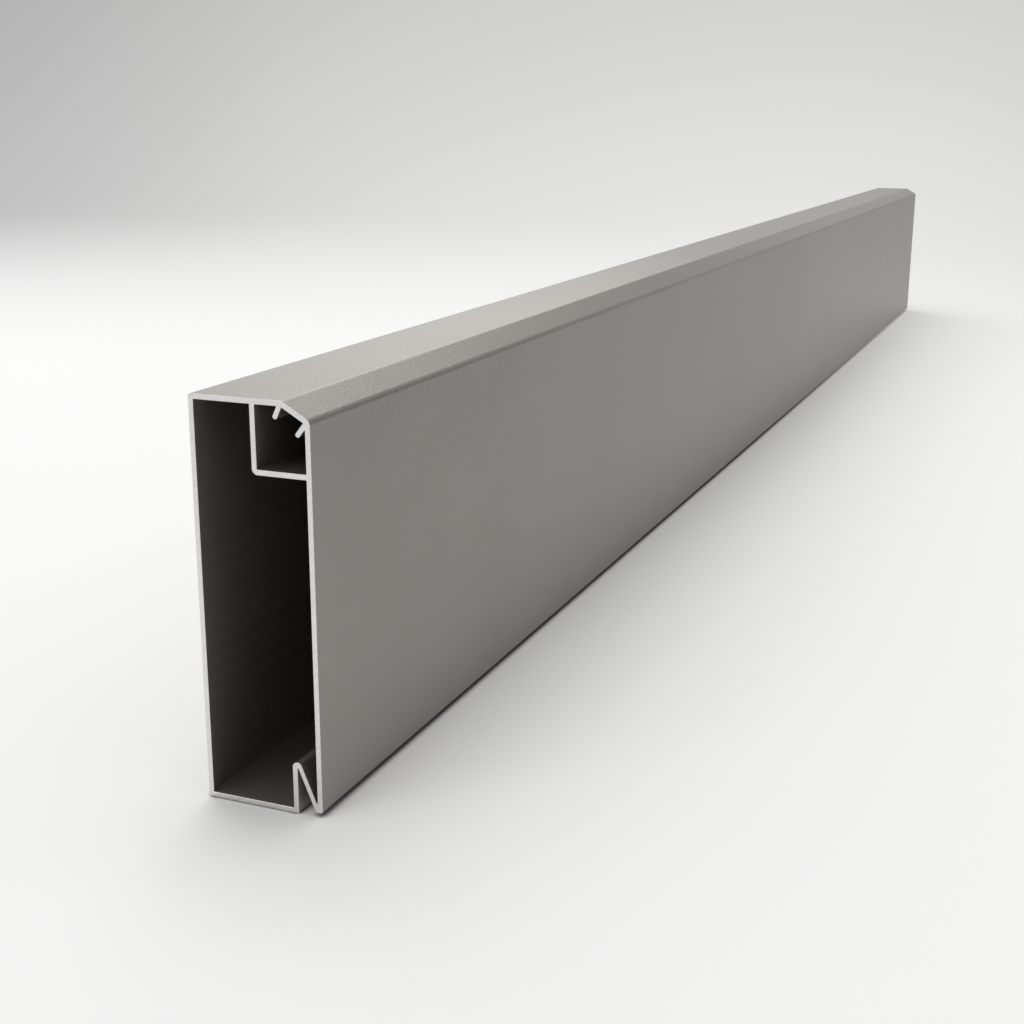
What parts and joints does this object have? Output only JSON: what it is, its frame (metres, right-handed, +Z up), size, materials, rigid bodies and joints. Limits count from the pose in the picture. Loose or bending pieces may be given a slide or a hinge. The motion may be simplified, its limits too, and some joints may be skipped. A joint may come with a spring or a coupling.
{
  "type": "aluminium extrusion profile",
  "caption": "Hollow aluminium extrusion standing on its narrow edge, with a chamfered top corner, a ribbed corner chamber and a tapered groove underneath, sawn square at each end.",
  "frame": {"origin": "middle of the underside, half-way along the stock, on the floor it stands on", "axes": "+X across the section towards the chamfered and grooved side, +Y along the stock, +Z up"},
  "size_m": [0.0316, 1, 0.1],
  "materials": {
    "satin_aluminium": "matt satin outside, bare metal on the sawn ends"
  },
  "bodies": {
    "root": {"profile": "satin_aluminium"}
  },
  "joints": []
}
